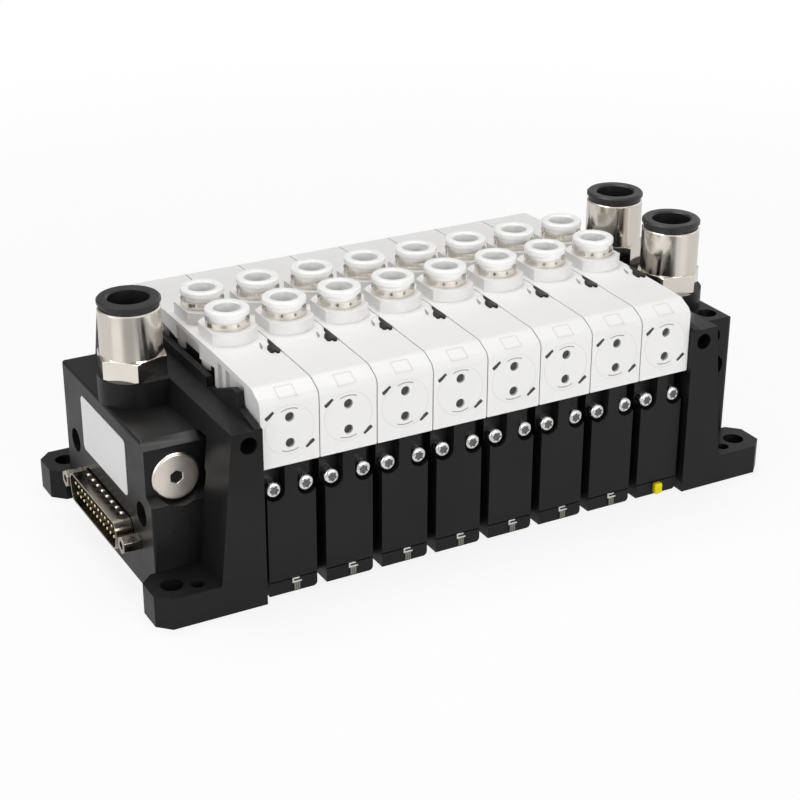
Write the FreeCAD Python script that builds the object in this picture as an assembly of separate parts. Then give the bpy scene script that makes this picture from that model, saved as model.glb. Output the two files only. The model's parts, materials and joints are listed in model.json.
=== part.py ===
import FreeCAD, Part
import math
import os

# A pneumatic valve island: a row of valve stations clamped between two end plates.
# The row runs along X, the side with the manual overrides faces -Y, and Z is up.
# The origin is the middle of the footprint, on the surface that the feet stand on.
# All sizes are in millimetres.

V = FreeCAD.Vector
X = V(1, 0, 0)
Y = V(0, 1, 0)
Z = V(0, 0, 1)

# Row of stations
station_count = 8
station_pitch = 18.0
station_gap = 0.35
valve_length = 99.6

# Valve housing
housing_bottom = 41.3
housing_shoulder = 61.15
housing_bevel_run = 5.3
housing_bevel_top = 63.85
housing_crown = 64.8
crown_inset = 33.0
shoulder_round = 3.0
bevel_round = 4.0
bottom_round = 0.3
side_round = 0.4

# Snap notches in the right-hand top edge of each housing
notch_start = 16.8
notch_pocket = 3.0
notch_pocket_width = 2.2
notch_pocket_depth = 9.0
notch_tail = 6.5
notch_tail_width = 1.0
notch_tail_depth = 2.4

# Recesses in the sides of each housing
window_start = 10.0
window_end = 22.6
window_depth = 1.2
window_cover = 1.6
window_rise = 6.0
side_groove_start = 24.6
side_groove_width = 3.4
side_groove_depth = 1.2
bay_half = 19.4
bay_depth = 2.0
bay_shoulder = 60.3
bay_slope_drop = 1.3
bay_mouth_half = 8.6
bay_cover = 1.3
outlet_wall = 1.3
outlet_floor = 0.7

# Outlets on top of each housing
outlet_offset = 9.1
boss_radius = 8.7
boss_flat = 7.0
boss_top = 68.4
cartridge_radius = 6.5
cartridge_length = 13.3
cartridge_proud = 1.9
cartridge_clearance = 0.05
outlet_tube_radius = 4.0
tube_clearance = 0.06
tube_stop_depth = 9.9
tube_seat_height = 2.0
outlet_passage_radius = 2.3

# Release collets of the outlets
collet_gap = 1.3
collet_flange_radius = 6.5
collet_flange_thickness = 2.15
collet_edge_round = 0.7
collet_sleeve_radius = 5.3
collet_sleeve_length = 7.4
collet_fit = 0.08
collet_mouth_bevel = 0.5

# Manual overrides on the front face of each housing
override_height = 51.75
override_spread = 3.9
override_radius = 1.4
override_fit = 0.05
override_recess = 0.7
override_length = 7.0
override_room = 1.6
mark_slot_length = 3.1
mark_slot_width = 0.85
mark_slot_depth = 0.6
mark_slot_angle = 35.0
mark_slot_across = 6.0
mark_slot_up = 5.3
mark_arc_radius = 6.6
mark_arc_width = 0.35
mark_arc_depth = 0.3
mark_arc_angle = 46.0

# Spool and its bore
spool_web = 1.25
spool_radius = 4.0
spool_fit = 0.05
spool_length = 60.0
spool_travel = 4.0
spool_end_room = 1.0
spool_neck_radius = 2.6
spool_land = 4.2

# Manifold base under each housing
base_bottom = 0.85
base_top = 41.15
base_cap_width = 15.0
base_cap_depth = 8.0
base_corner_round = 1.3
seam_height = 4.95
seam_width = 0.4
seam_depth = 0.6
supply_duct_height = 26.0
supply_duct_radius = 4.6
exhaust_offset = 15.6
riser_radius = 2.2

# Seal between a housing and its base
seal_width = 13.0
seal_length = 44.0
seal_recess = 1.0

# Screws in the front of each base
screw_spread = 4.95
screw_height = 33.8
screw_pocket_radius = 3.05
screw_pocket_depth = 4.0
screw_head_radius = 2.5
screw_head_height = 3.4
screw_head_bevel = 0.4
screw_socket_across = 2.4
screw_socket_depth = 1.4
screw_shank_radius = 1.45
screw_shank_length = 9.0
screw_fit = 0.05

# Latches under the seam of each base
latch_offset = 0.9
knob_offset = 0.3
latch_width = 2.0
latch_height = 2.7
latch_thickness = 0.5
latch_rise = 0.5
latch_hook_width = 2.8
latch_hook_height = 1.3
latch_hook_wall = 0.4
knob_width = 2.9
knob_height = 3.7
knob_depth = 1.5
knob_round = 0.9
knob_rise = 0.3

# End plates
plate_overhang = 1.9
plate_top = 54.8
plate_top_width = 9.2
plate_foot_width = 13.6
foot_reach = 32.4
foot_length = 16.0
foot_height = 9.5
foot_chamfer = 3.8
foot_hole_radius = 3.3
foot_hole_reach = 25.5
foot_hole_inset = 7.65
small_hole_radius = 2.0
small_hole_reach = 18.9
small_hole_inset = 4.7
left_block_reach = 26.9
left_block_top = 47.0
left_block_round = 1.0
right_block_reach = 28.3
right_block_top = 49.0
right_block_round = 2.0
end_hole_radius = 2.5
end_hole_reach = 4.25
end_hole_height = 50.7
end_hole_depth = 8.0
fin_thickness = 2.0
fin_gap = 0.3
fin_root = 1.0
tooth_front_rise = 0.4
tooth_ramp_end = 9.3
tooth_ramp_rise = 2.4
tooth_step = 0.7
tooth_top_rise = 6.6
tooth_top_length = 3.3
tooth_tail = 14.7
saddle_rise = 3.1
saddle_half = 19.0

# Front recess of the left end block, with its closing plug
recess_depth = 4.4
recess_bottom = 29.5
recess_ramp = 1.8
block_bevel_run = 3.4
block_bevel_drop = 1.8
plug_reach = 18.0
plug_height = 36.1
plug_radius = 7.2
plug_thickness = 1.4
plug_edge = 0.5
plug_socket_across = 3.4
plug_socket_depth = 1.2
plug_room = 0.4
plug_stem_radius = 5.0
plug_stem_length = 7.0

# Blind ports of the right end block
side_port_radius = 3.8
side_port_reach = 21.6
side_port_height = 32.7
small_port_radius = 3.2
small_port_reach = 20.3
small_port_height = 43.0
top_port_radius = 3.1
top_port_reach = 22.0
top_port_y = -30.1
blind_port_depth = 6.0

# Supply fittings on the end blocks
fitting_reach = 16.4
left_boss_radius = 10.4
right_boss_radius = 11.0
left_fitting_y = 2.0
fitting_turns = (18.0, 46.0, 30.0)
fitting_stem_radius = 7.0
fitting_stem_length = 8.5
fitting_fit = 0.05
fitting_hex_across = 18.5
fitting_hex_height = 6.0
fitting_hex_bevel = 0.8
fitting_body_radius = 9.15
fitting_body_height = 20.1
fitting_edge = 0.4
fitting_mouth_radius = 8.55
fitting_mouth_depth = 3.3
fitting_passage_radius = 3.8
supply_tube_radius = 6.0
supply_stop_rise = 3.7
supply_collet_gap = 1.5
supply_flange_radius = 9.25
supply_flange_thickness = 1.3
supply_skirt_radius = 8.4
supply_skirt_length = 2.7
supply_sleeve_radius = 7.4
supply_sleeve_rise = 3.5

# Tie rods
tie_rod_y = 27.0
tie_rod_height = 24.0
tie_rod_radius = 2.0
tie_rod_clearance = 0.1
tie_head_radius = 3.5
tie_head_length = 4.0
tie_socket_across = 3.0
tie_socket_depth = 2.0
tie_head_reach = 15.9
tie_counterbore_radius = 3.75

# 25-pole connector on the left end block
connector_y = 0.0
connector_height = 13.7
connector_width = 38.96
connector_screw_room = 4.04
connector_depth_z = 8.36
connector_slope = 10.0
connector_round = 2.5
shell_wall = 0.5
shell_proud = 5.3
shell_sunk = 3.0
shell_clearance = 0.6
insulator_clearance = 0.05
insulator_front = 0.4
insulator_length = 7.0
pin_pitch = 2.77
pin_row_gap = 2.84
pin_radius = 0.5
pin_proud = 4.7
pin_sunk = 2.0
pins_wide_row = 13
jack_across = 4.76
jack_length = 5.5
jack_stem_radius = 1.4
jack_stem_length = 6.0
jack_hole_radius = 1.2
jack_hole_depth = 4.0

# Blank label on the left end block
label_width = 36.0
label_height = 17.6
label_y = 1.1
label_z = 33.6
label_thickness = 0.25
label_round = 1.6

# Worked out from the sizes above
cartridge_top = boss_top + cartridge_proud
cartridge_bottom = cartridge_top - cartridge_length
tube_stop_height = cartridge_top - tube_stop_depth
collet_flange_bottom = cartridge_top + collet_gap
collet_top = collet_flange_bottom + collet_flange_thickness
spool_height = cartridge_bottom - spool_web - spool_radius
jack_spacing = connector_width + 2 * connector_screw_room
fitting_body_top = plate_top + fitting_body_height
supply_stop_height = plate_top + supply_stop_rise
supply_sleeve_bottom = supply_stop_height + tube_seat_height + supply_sleeve_rise
supply_flange_bottom = fitting_body_top + supply_collet_gap
supply_collet_top = supply_flange_bottom + supply_flange_thickness
row_half = station_count * station_pitch / 2
front_y = -valve_length / 2
plate_half = valve_length / 2 + plate_overhang
block_half = plate_half - foot_length
left_face = row_half + left_block_reach
housing_width = station_pitch - station_gap
tube_bore_radius = outlet_tube_radius + tube_clearance
supply_bore_radius = supply_tube_radius + tube_clearance
spool_bore_half = (spool_length + spool_travel) / 2 + spool_end_room


def box(x0, x1, y0, y1, z0, z1):
    return Part.makeBox(x1 - x0, y1 - y0, z1 - z0, V(x0, y0, z0))


def cylinder(radius, start, direction, length):
    return Part.makeCylinder(radius, length, start, direction)


def polygon(points):
    return Part.makePolygon(points + [points[0]])


def rounded_wire(points, radii):
    # A closed outline with a tangent arc at each corner that has a radius.
    edges = []
    count = len(points)
    starts = []
    ends = []
    middles = []
    for i in range(count):
        corner = points[i]
        before = (points[i - 1] - corner).normalize()
        after = (points[(i + 1) % count] - corner).normalize()
        half = before.getAngle(after) / 2
        reach = radii[i] / math.tan(half)
        starts.append(corner + before * reach)
        ends.append(corner + after * reach)
        middle_reach = radii[i] / math.sin(half) - radii[i]
        middles.append(corner + (before + after).normalize() * middle_reach)
    for i in range(count):
        if radii[i] > 0:
            edges.append(Part.Arc(starts[i], middles[i], ends[i]).toShape())
        following = starts[(i + 1) % count]
        if ends[i].distanceToPoint(following) > 1e-6:
            edges.append(Part.LineSegment(ends[i], following).toShape())
    return Part.Wire(edges)


def prism(points, direction, radii=None):
    wire = rounded_wire(points, radii) if radii else polygon(points)
    return Part.Face(wire).extrude(direction)


def turned(profile, centre, axis=Z):
    # Revolves (radius, height) points about an axis through the centre.
    side = X if axis.isEqual(Z, 1e-9) or axis.isEqual(Y, 1e-9) else Y
    points = [centre + side * r + axis * h for r, h in profile]
    return Part.Face(polygon(points)).revolve(centre, axis, 360)


def hexagon(across, centre, axis, length):
    side = X if abs(axis.x) < 0.5 else Y
    other = axis.cross(side)
    corner = across / math.sqrt(3)
    points = []
    for i in range(6):
        angle = math.radians(60 * i + 30)
        points.append(centre + side * corner * math.cos(angle) + other * corner * math.sin(angle))
    return prism(points, axis * length)


def edges_where(shape, test):
    return [edge for edge in shape.Edges if test(edge)]


def mirrored_x(shape):
    return shape.mirror(V(0, 0, 0), X)


def station_x(index):
    return -row_half + station_pitch * (index + 0.5)


def at_stations(shape, indices=None):
    chosen = range(station_count) if indices is None else indices
    return [shape.translated(V(station_x(i), 0, 0)) for i in chosen]


def save(name, shapes):
    shape = shapes if isinstance(shapes, Part.Shape) else Part.makeCompound(shapes)
    shape.exportStep(os.path.join("parts", name + ".step"))
    if not shape.isValid():
        print("not valid:", name)


def housing_profile(x):
    half = valve_length / 2
    front = [
        V(x, -half, housing_bottom),
        V(x, -half, housing_shoulder),
        V(x, -half + housing_bevel_run, housing_bevel_top),
        V(x, -half + crown_inset, housing_crown),
    ]
    rear = [V(p.x, -p.y, p.z) for p in reversed(front)]
    return front + rear


def make_housing_block():
    radii = [0, shoulder_round, bevel_round, 0, 0, bevel_round, shoulder_round, 0]
    block = prism(housing_profile(-housing_width / 2), X * housing_width, radii)
    corners = edges_where(block, lambda e: e.BoundBox.ZMax < housing_bottom + 0.1 and e.BoundBox.YLength > 1)
    return block.makeFillet(bottom_round, corners)


def make_boss(y):
    boss = cylinder(boss_radius, V(0, y, housing_bottom + 1), Z, boss_top - housing_bottom - 1)
    slab = box(-boss_flat, boss_flat, y - boss_radius, y + boss_radius, housing_bottom, boss_top + 1)
    return boss.common(slab)


def make_side_recess(side, end):
    # A window and a vertical groove in one side, mirrored for the rear half.
    outer = side * housing_width / 2
    y0 = front_y + window_start
    y1 = front_y + window_end
    slope = (housing_crown - housing_bevel_top) / (crown_inset - housing_bevel_run)
    z0 = housing_bevel_top + slope * (window_start - housing_bevel_run) - window_cover
    z1 = housing_bevel_top + slope * (window_end - housing_bevel_run) - window_cover
    low = housing_bottom + window_rise
    points = [V(outer, y0, low), V(outer, y0, z0), V(outer, y1, z1), V(outer, y1, low)]
    window = prism(points, X * (-side * window_depth))
    g0 = front_y + side_groove_start
    groove = box(
        min(outer, outer - side * side_groove_depth),
        max(outer, outer - side * side_groove_depth),
        g0,
        g0 + side_groove_width,
        low,
        z1,
    )
    recess = window.fuse(groove)
    return recess if end > 0 else recess.mirror(V(0, 0, 0), Y)


def make_side_bay(side):
    # The open middle of a side, with the round walls of the two outlets left in it.
    outer = side * housing_width / 2
    low = housing_bottom + window_rise
    high = housing_crown - bay_cover
    step = bay_shoulder - bay_slope_drop
    front = [
        V(outer, -bay_half, low),
        V(outer, -bay_half, bay_shoulder),
        V(outer, -bay_mouth_half, step),
        V(outer, -bay_mouth_half, high),
    ]
    rear = [V(p.x, -p.y, p.z) for p in reversed(front)]
    bay = prism(front + rear, X * (-side * bay_depth))
    walls = []
    for y in (-outlet_offset, outlet_offset):
        floor = V(0, y, cartridge_bottom - outlet_floor)
        walls.append(cylinder(cartridge_radius + outlet_wall, floor, Z, boss_top - floor.z))
    return bay.cut(walls)


def make_notch(end):
    edge = housing_width / 2
    y0 = -notch_start
    y1 = y0 - notch_pocket
    y2 = y1 - notch_tail
    top = housing_crown + 1
    pocket = box(edge - notch_pocket_width, edge, y1, y0, housing_crown - notch_pocket_depth, top)
    tail_points = [
        V(edge - notch_tail_width, y1, top),
        V(edge - notch_tail_width, y1, housing_crown - notch_tail_depth),
        V(edge - notch_tail_width, y2, housing_bevel_top),
        V(edge - notch_tail_width, y2, top),
    ]
    notch = pocket.fuse(prism(tail_points, X * notch_tail_width))
    return notch if end > 0 else notch.mirror(V(0, 0, 0), Y)


def make_mark_slots():
    slots = []
    half = mark_slot_length / 2
    wide = mark_slot_width / 2
    for sign in (1, -1):
        slot = box(-half, half, 0, mark_slot_depth, -wide, wide)
        slot.rotate(V(0, 0, 0), Y, -mark_slot_angle)
        slot.translate(V(-sign * mark_slot_across, front_y, override_height + sign * mark_slot_up))
        slots.append(slot)
    return slots


def make_mark_arcs():
    arcs = []
    start = V(0, front_y, override_height)
    ring = cylinder(mark_arc_radius, start, Y, mark_arc_depth)
    ring = ring.cut(cylinder(mark_arc_radius - mark_arc_width, start, Y, mark_arc_depth))
    half = mark_arc_radius * math.sin(math.radians(mark_arc_angle / 2))
    for sign in (1, -1):
        z0 = override_height if sign > 0 else override_height - mark_arc_radius
        window = box(-half, half, front_y, front_y + mark_arc_depth, z0, z0 + mark_arc_radius)
        arcs.append(ring.common(window))
    return arcs


def make_housing():
    body = make_housing_block()
    for sign in (-1, 1):
        body = body.fuse(make_boss(sign * outlet_offset))
    body = body.removeSplitter()
    cuts = []
    for side in (-1, 1):
        for end in (-1, 1):
            cuts.append(make_side_recess(side, end))
        cuts.append(make_side_bay(side))
    cuts += [make_notch(1), make_notch(-1)]
    cuts += make_mark_slots() + make_mark_arcs()
    hole = cartridge_radius + cartridge_clearance
    for sign in (-1, 1):
        seat = V(0, sign * outlet_offset, cartridge_bottom)
        cuts.append(cylinder(hole, seat, Z, boss_top - cartridge_bottom + 1))
        passage = V(0, sign * outlet_offset, spool_height)
        cuts.append(cylinder(outlet_passage_radius, passage, Z, cartridge_bottom - spool_height + 1))
        depth = override_recess + override_length + override_room
        place = V(0, front_y, override_height + sign * override_spread)
        cuts.append(cylinder(override_radius, place, Y, depth))
    start = V(0, -spool_bore_half, spool_height)
    cuts.append(cylinder(spool_radius + spool_fit, start, Y, 2 * spool_bore_half))
    for y in (-exhaust_offset, 0, exhaust_offset):
        cuts.append(cylinder(riser_radius, V(0, y, housing_bottom - 1), Z, spool_height - housing_bottom + 1))
    return body.cut(cuts)


def make_cartridge(y):
    chamber = collet_sleeve_radius + collet_fit
    profile = [
        (outlet_passage_radius, cartridge_bottom),
        (cartridge_radius, cartridge_bottom),
        (cartridge_radius, cartridge_top),
        (chamber, cartridge_top),
        (chamber, tube_stop_height + tube_seat_height),
        (tube_bore_radius, tube_stop_height + tube_seat_height),
        (tube_bore_radius, tube_stop_height),
        (outlet_passage_radius, tube_stop_height),
    ]
    return turned(profile, V(0, y, 0))


def make_outlet_collet(x, y):
    low = collet_flange_bottom
    sleeve = low - collet_sleeve_length
    bevel = collet_mouth_bevel
    profile = [
        (tube_bore_radius, sleeve),
        (collet_sleeve_radius, sleeve),
        (collet_sleeve_radius, low),
        (collet_flange_radius, low),
        (collet_flange_radius, collet_top),
        (tube_bore_radius + bevel, collet_top),
        (tube_bore_radius, collet_top - bevel),
    ]
    collet = turned(profile, V(x, y, 0))

    def on_rim(edge):
        wide = edge.BoundBox.XLength > 2 * collet_flange_radius - 0.01
        return wide and edge.BoundBox.ZLength < 0.01

    return collet.makeFillet(collet_edge_round, edges_where(collet, on_rim))


def make_override(x, side):
    radius = override_radius - override_fit
    start = V(x, front_y + override_recess, override_height + side * override_spread)
    return cylinder(radius, start, Y, override_length)


def make_spool(x):
    # Five lands with necks between them, where the ports meet the bore.
    start = -spool_bore_half + spool_end_room
    ports = [-exhaust_offset, -outlet_offset, 0, outlet_offset, exhaust_offset]
    gaps = [(ports[i] + ports[i + 1]) / 2 for i in range(len(ports) - 1)]
    shift = -spool_travel / 2
    lands = [(gap + shift - spool_land / 2, gap + shift + spool_land / 2) for gap in gaps]
    lands = [(start, start + spool_land * 2)] + lands
    lands.append((start + spool_length - spool_land * 2, start + spool_length))
    profile = [(0, start)]
    for low, high in lands:
        if low > start:
            profile += [(spool_neck_radius, low), (spool_radius, low)]
        else:
            profile.append((spool_radius, low))
        profile.append((spool_radius, high))
        if high < start + spool_length - 1e-6:
            profile.append((spool_neck_radius, high))
    profile.append((0, start + spool_length))
    return turned(profile, V(x, 0, spool_height), Y)


def make_screw_pocket(x):
    floor = front_y + screw_pocket_depth
    round_end = cylinder(screw_pocket_radius, V(x, front_y, screw_height), Y, screw_pocket_depth)
    slot = box(
        x - screw_pocket_radius,
        x + screw_pocket_radius,
        front_y,
        floor,
        screw_height,
        base_top + 1,
    )
    open_side = 1 if x > 0 else -1
    edge = open_side * base_cap_width / 2
    side = box(min(x, edge), max(x, edge), front_y, floor, screw_height, base_top + 1)
    shank = cylinder(screw_shank_radius + screw_fit, V(x, floor, screw_height), Y, screw_shank_length + 1)
    return [round_end, slot, side, shank]


def make_base():
    half = valve_length / 2
    wide = housing_width / 2
    cap = base_cap_width / 2
    body = box(-wide, wide, -half + base_cap_depth, half - base_cap_depth, base_bottom, base_top)
    for y0 in (-half, half - base_cap_depth):
        corners = [
            V(-cap, y0, base_bottom),
            V(cap, y0, base_bottom),
            V(cap, y0, base_top),
            V(-cap, y0, base_top),
        ]
        body = body.fuse(prism(corners, Y * base_cap_depth, [0, base_corner_round, 0, 0]))
    cuts = []
    for x in (-screw_spread, screw_spread):
        cuts += make_screw_pocket(x)
    for y0 in (-half, half - seam_depth):
        cuts.append(box(-cap, cap, y0, y0 + seam_depth, seam_height, seam_height + seam_width))
    for y in (-exhaust_offset, 0, exhaust_offset):
        cuts.append(cylinder(supply_duct_radius, V(-wide, y, supply_duct_height), X, 2 * wide))
        cuts.append(cylinder(riser_radius, V(0, y, supply_duct_height), Z, base_top - supply_duct_height))
    for y in (-tie_rod_y, tie_rod_y):
        radius = tie_rod_radius + tie_rod_clearance
        cuts.append(cylinder(radius, V(-wide, y, tie_rod_height), X, 2 * wide))
    seat = seal_width / 2 + station_gap / 2
    long_seat = seal_length / 2 + station_gap / 2
    cuts.append(box(-seat, seat, -long_seat, long_seat, base_top - seal_recess, base_top))
    return body.cut(cuts).removeSplitter()


def make_seal():
    low = base_top - seal_recess
    seal = box(-seal_width / 2, seal_width / 2, -seal_length / 2, seal_length / 2, low, housing_bottom)
    holes = []
    for y in (-exhaust_offset, 0, exhaust_offset):
        holes.append(cylinder(riser_radius, V(0, y, low), Z, housing_bottom - low))
    return seal.cut(holes)


def make_valve_screw(x):
    floor = front_y + screw_pocket_depth
    head_start = floor - screw_head_height
    profile = [
        (0, head_start),
        (screw_head_radius - screw_head_bevel, head_start),
        (screw_head_radius, head_start + screw_head_bevel),
        (screw_head_radius, floor),
        (screw_shank_radius, floor),
        (screw_shank_radius, floor + screw_shank_length),
        (0, floor + screw_shank_length),
    ]
    screw = turned(profile, V(x, 0, screw_height), Y)
    return screw.cut(hexagon(screw_socket_across, V(x, head_start, screw_height), Y, screw_socket_depth))


def make_latch():
    # A bent spring strip that holds the bottom cover, with its hook over the seam.
    low = base_bottom + latch_rise
    y1 = front_y
    y0 = y1 - latch_thickness
    strip = box(-latch_width / 2, latch_width / 2, y0, y1, low, low + latch_height)
    top = low + latch_height
    hook = box(-latch_hook_width / 2, latch_hook_width / 2, y0, y1, top, top + latch_hook_height)
    inner = latch_hook_width / 2 - latch_thickness
    high = top + latch_hook_height - latch_hook_wall
    gap = box(-inner, latch_hook_width, y0, y1, top + latch_hook_wall, high)
    return strip.fuse(hook.cut(gap)).removeSplitter()


def make_knob():
    wide = knob_width / 2
    low = base_bottom + knob_rise
    corners = [
        V(-wide, front_y - knob_depth, low),
        V(wide, front_y - knob_depth, low),
        V(wide, front_y - knob_depth, low + knob_height),
        V(-wide, front_y - knob_depth, low + knob_height),
    ]
    knob = prism(corners, Y * knob_depth, [knob_round, knob_round, knob_round, knob_round])
    rim = edges_where(knob, lambda e: e.BoundBox.YMax < front_y - knob_depth + 0.01)
    return knob.makeFillet(knob_round / 2, rim)


def make_plate_profile():
    # The flange seen from the front, at the left end, narrower at its top.
    x0 = -row_half
    points = [
        V(x0, -plate_half, 0),
        V(x0 - plate_foot_width, -plate_half, 0),
        V(x0 - plate_foot_width, -plate_half, foot_height),
        V(x0 - plate_top_width, -plate_half, plate_top),
        V(x0, -plate_half, plate_top),
    ]
    return prism(points, Y * (2 * plate_half))


def make_foot(end):
    x0 = -row_half
    x1 = x0 - foot_reach
    y0 = end * plate_half
    y1 = end * (plate_half - foot_length)
    cut = foot_chamfer
    points = [
        V(x0, y0, 0),
        V(x1 + cut, y0, 0),
        V(x1, y0 - end * cut, 0),
        V(x1, y1 + end * cut, 0),
        V(x1 + cut, y1, 0),
        V(x0, y1, 0),
    ]
    return prism(points, Z * foot_height)


def foot_holes():
    holes = []
    for end in (-1, 1):
        y = end * (plate_half - foot_hole_inset)
        holes.append(cylinder(foot_hole_radius, V(-row_half - foot_hole_reach, y, -1), Z, foot_height + 2))
        y = end * (plate_half - small_hole_inset)
        holes.append(cylinder(small_hole_radius, V(-row_half - small_hole_reach, y, -1), Z, foot_height + 2))
    return holes


def end_holes():
    holes = []
    for end in (-1, 1):
        start = V(-row_half - end_hole_reach, end * plate_half, end_hole_height)
        holes.append(cylinder(end_hole_radius, start, Y * (-end), end_hole_depth))
    return holes


def make_fin():
    # A raised edge beside the first housing, with a tall tooth near each end.
    x1 = -row_half - fin_gap
    x0 = x1 - fin_thickness
    z0 = plate_top - fin_root
    y1 = front_y + tooth_ramp_end
    y2 = y1 + tooth_step
    y3 = y2 + tooth_top_length
    y4 = y3 + tooth_tail
    tooth = [
        V(x0, -plate_half, z0),
        V(x0, -plate_half, plate_top + tooth_front_rise),
        V(x0, y1, plate_top + tooth_ramp_rise),
        V(x0, y2, plate_top + tooth_top_rise),
        V(x0, y3, plate_top + tooth_top_rise),
        V(x0, y4, plate_top + tooth_front_rise),
        V(x0, y4, z0),
    ]
    front = prism(tooth, X * fin_thickness)
    saddle = box(x0, x1, -saddle_half, saddle_half, z0, plate_top + saddle_rise)
    return [front, front.mirror(V(0, 0, 0), Y), saddle]


def make_fitting_bosses(ys, radius, block_top):
    bosses = []
    x = -row_half - fitting_reach
    for y in ys:
        z0 = block_top - 1
        bosses.append(cylinder(radius, V(x, y, z0), Z, plate_top - z0))
        bosses.append(box(x, -row_half - plate_top_width / 2, y - radius, y + radius, z0, plate_top))
    return bosses


def fitting_bores(ys):
    bores = []
    x = -row_half - fitting_reach
    for y in ys:
        seat = plate_top - fitting_stem_length - 1
        bores.append(cylinder(fitting_stem_radius + fitting_fit, V(x, y, seat), Z, plate_top - seat + 1))
        drop = V(x, y, supply_duct_height)
        bores.append(cylinder(fitting_passage_radius, drop, Z, seat - supply_duct_height + 1))
    return bores


def duct_bores(ys):
    bores = []
    length = fitting_reach
    for y in ys:
        bores.append(cylinder(fitting_passage_radius, V(-row_half, y, supply_duct_height), X * (-1), length))
    return bores


def tie_rod_bores(reach):
    bores = []
    for y in (-tie_rod_y, tie_rod_y):
        inner = V(-row_half, y, tie_rod_height)
        bores.append(cylinder(tie_rod_radius + tie_rod_clearance, inner, X * (-1), reach))
        mouth = V(-row_half - reach, y, tie_rod_height)
        bores.append(cylinder(tie_counterbore_radius, mouth, X, reach - tie_head_reach))
    return bores


def make_end_block(reach, top, radius):
    face = -row_half - reach
    block = box(face, -row_half, -block_half, block_half, 0, top)
    outer = edges_where(block, lambda e: e.BoundBox.XMax < face + 0.01 and e.BoundBox.ZMax > 0.01)
    return block.makeFillet(radius, outer)


def make_left_recess():
    # The stepped front of the left end block, with a sloped ledge under the plug.
    y0 = -block_half
    y1 = y0 + recess_depth
    step = [
        V(-left_face, y0, recess_bottom),
        V(-left_face, y1, recess_bottom + recess_ramp),
        V(-left_face, y1, left_block_top + 1),
        V(-left_face, y0, left_block_top + 1),
    ]
    bevel = [
        V(-left_face, y1, left_block_top - block_bevel_drop),
        V(-left_face, y1 + block_bevel_run, left_block_top),
        V(-left_face, y1, left_block_top + 1),
    ]
    length = left_block_reach - plate_top_width / 2
    return [prism(step, X * length), prism(bevel, X * length)]


def connector_outline(x, grow):
    # The connector's D shape, wide side up, grown evenly on all sides.
    high = connector_depth_z / 2
    top = connector_width / 2
    lean = connector_depth_z * math.tan(math.radians(connector_slope))
    low = top - lean
    side = grow / math.cos(math.radians(connector_slope))
    points = [
        V(x, connector_y - low - side, connector_height - high - grow),
        V(x, connector_y + low + side, connector_height - high - grow),
        V(x, connector_y + top + side, connector_height + high + grow),
        V(x, connector_y - top - side, connector_height + high + grow),
    ]
    return points, [connector_round + grow] * 4


def connector_body(x0, x1, grow):
    points, radii = connector_outline(x0, grow)
    return prism(points, X * (x1 - x0), radii)


def connector_bores():
    depth = shell_sunk + insulator_length
    pocket = connector_body(-left_face - 1, -left_face + depth, shell_wall + shell_clearance)
    bores = [pocket]
    for sign in (-1, 1):
        y = connector_y + sign * jack_spacing / 2
        start = V(-left_face, y, connector_height)
        bores.append(cylinder(jack_stem_radius + screw_fit, start, X, jack_stem_length + 1))
    return bores


def plug_bores():
    # The bore for the stem, and room for the head where it stands over the ledge.
    y = -block_half + recess_depth
    centre = V(-row_half - plug_reach, y, plug_height)
    stem = cylinder(plug_stem_radius + fitting_fit, centre, Y, plug_stem_length + 1)
    head = cylinder(plug_radius + plug_room, centre, Y * (-1), recess_depth + 1)
    return [stem, head]


def blind_ports():
    y = -block_half
    side = V(-row_half - side_port_reach, y, side_port_height)
    small = V(-row_half - small_port_reach, y, small_port_height)
    top = V(-row_half - top_port_reach, top_port_y, right_block_top)
    return [
        cylinder(side_port_radius, side, Y, blind_port_depth),
        cylinder(small_port_radius, small, Y, blind_port_depth),
        cylinder(top_port_radius, top, Z * (-1), blind_port_depth),
    ]


def make_end_plate(block, bosses, fitting_ys, duct_ys, extra_cuts):
    # Built at the left end of the row; the right one is mirrored afterwards.
    body = make_plate_profile().fuse([make_foot(-1), make_foot(1), block])
    body = body.fuse(make_fin() + bosses)
    cuts = foot_holes() + end_holes() + fitting_bores(fitting_ys) + duct_bores(duct_ys)
    return body.cut(cuts + extra_cuts).removeSplitter()


def make_supply_fitting(x, y, turn):
    chamber = supply_sleeve_radius + collet_fit
    base = plate_top
    hex_top = base + fitting_hex_height
    mouth = fitting_body_top - fitting_mouth_depth
    corner = fitting_hex_across / math.sqrt(3)
    body = turned(
        [
            (0, base - fitting_stem_length),
            (fitting_stem_radius, base - fitting_stem_length),
            (fitting_stem_radius, base),
            (fitting_stem_radius, hex_top),
            (fitting_body_radius, hex_top),
            (fitting_body_radius, fitting_body_top - fitting_edge),
            (fitting_body_radius - fitting_edge, fitting_body_top),
            (0, fitting_body_top),
        ],
        V(x, y, 0),
    )
    nut = hexagon(fitting_hex_across, V(x, y, base), Z, fitting_hex_height)
    nut.rotate(V(x, y, 0), Z, turn - 30)
    crown = turned(
        [
            (0, base),
            (corner - fitting_hex_bevel, base),
            (corner, base + fitting_hex_bevel / 2),
            (corner, hex_top - fitting_hex_bevel / 2),
            (corner - fitting_hex_bevel, hex_top),
            (0, hex_top),
        ],
        V(x, y, 0),
    )
    body = body.fuse(nut.common(crown))
    hollow = turned(
        [
            (0, base - fitting_stem_length - 1),
            (fitting_passage_radius, base - fitting_stem_length - 1),
            (fitting_passage_radius, supply_stop_height),
            (supply_bore_radius, supply_stop_height),
            (supply_bore_radius, supply_stop_height + tube_seat_height),
            (chamber, supply_stop_height + tube_seat_height),
            (chamber, mouth),
            (fitting_mouth_radius, mouth),
            (fitting_mouth_radius, fitting_body_top + 1),
            (0, fitting_body_top + 1),
        ],
        V(x, y, 0),
    )
    return body.cut(hollow).removeSplitter()


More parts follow.
